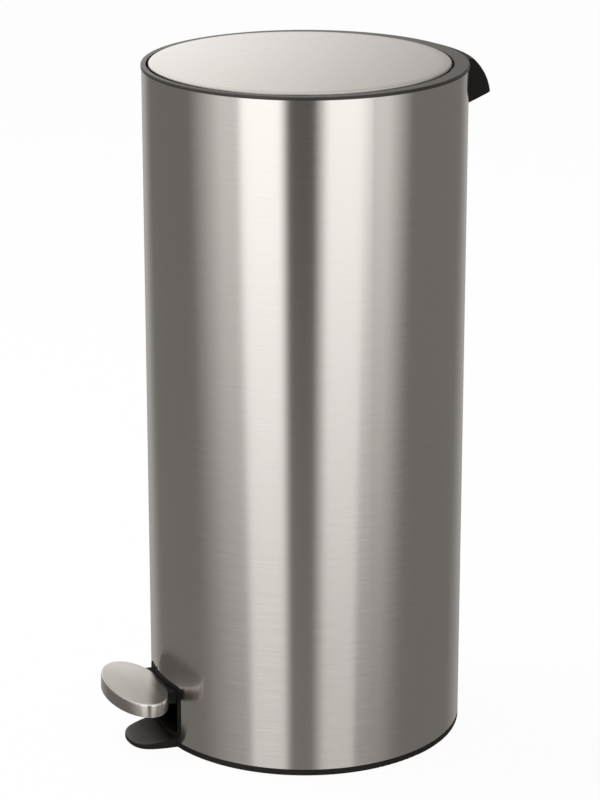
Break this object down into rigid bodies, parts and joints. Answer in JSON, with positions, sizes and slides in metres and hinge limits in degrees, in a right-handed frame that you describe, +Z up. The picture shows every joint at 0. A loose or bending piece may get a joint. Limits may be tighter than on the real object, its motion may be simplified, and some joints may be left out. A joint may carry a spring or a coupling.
{
  "type": "pedal bin",
  "caption": "Tall round brushed steel pedal bin with a flush hinged lid, foot pedal linkage, lift-out bucket and a rear carrying hood.",
  "frame": {"origin": "on the floor, under the middle of the round shell", "axes": "+Z up along the shell's axis, the pedal towards -Y, the lid hinge and carrying hood towards +Y"},
  "size_m": [0.3012, 0.3804, 0.6495],
  "materials": {
    "shell_steel": "brushed round the drum",
    "lid_steel": "brushed straight across",
    "pedal_steel": "brushed",
    "black_plastic": "fine satin",
    "collar_plastic": "satin",
    "bucket_plastic": "satin",
    "bush_plastic": "natural nylon",
    "rubber": "matt",
    "plated_steel": "zinc plated"
  },
  "bodies": {
    "bin": {"body_shell": "shell_steel", "slot_frame": "black_plastic", "base": "black_plastic", "foot_pads": "rubber", "lever_axle": "plated_steel", "axle_caps": "black_plastic", "hinge_pin": "plated_steel", "collar": "collar_plastic", "lid_buffers": "rubber", "rear_handle": "black_plastic", "handle_screws": "plated_steel"},
    "lid": {"lid_cap": "lid_steel", "lid_liner": "black_plastic", "lid_hinge_bracket": "black_plastic", "lid_screws": "plated_steel"},
    "pedal": {"pedal_lever": "plated_steel", "pedal_cap": "pedal_steel", "pedal_arm": "black_plastic", "pedal_screws": "plated_steel", "lever_bushes": "bush_plastic"},
    "rod": {"lift_rod": "plated_steel", "rod_clips": "plated_steel"},
    "bucket": {"bucket": "bucket_plastic"}
  },
  "joints": [
    {"name": "lid_hinge", "type": "hinge", "parent": "bin", "child": "lid", "pos_m": [0, 0.141, 0.641], "axis": [-1, 0, 0], "range_deg": [0, 78]},
    {"name": "pedal_hinge", "type": "hinge", "parent": "bin", "child": "pedal", "pos_m": [0, -0.06, 0.043], "axis": [1, 0, 0], "range_deg": [0, 10.19]},
    {"name": "rod_lift", "type": "slide", "parent": "bin", "child": "rod", "axis": [0, 0, 1], "range_m": [0, 0.0324]},
    {"name": "bucket_lift", "type": "slide", "parent": "bin", "child": "bucket", "axis": [0, 0, 1], "range_m": [0, 0.008]}
  ],
  "couplings": [
    {"joint": "pedal_hinge", "follows": "lid_hinge", "ratio": 0.13059},
    {"joint": "rod_lift", "follows": "lid_hinge", "m_per_rad": 0.02379}
  ]
}
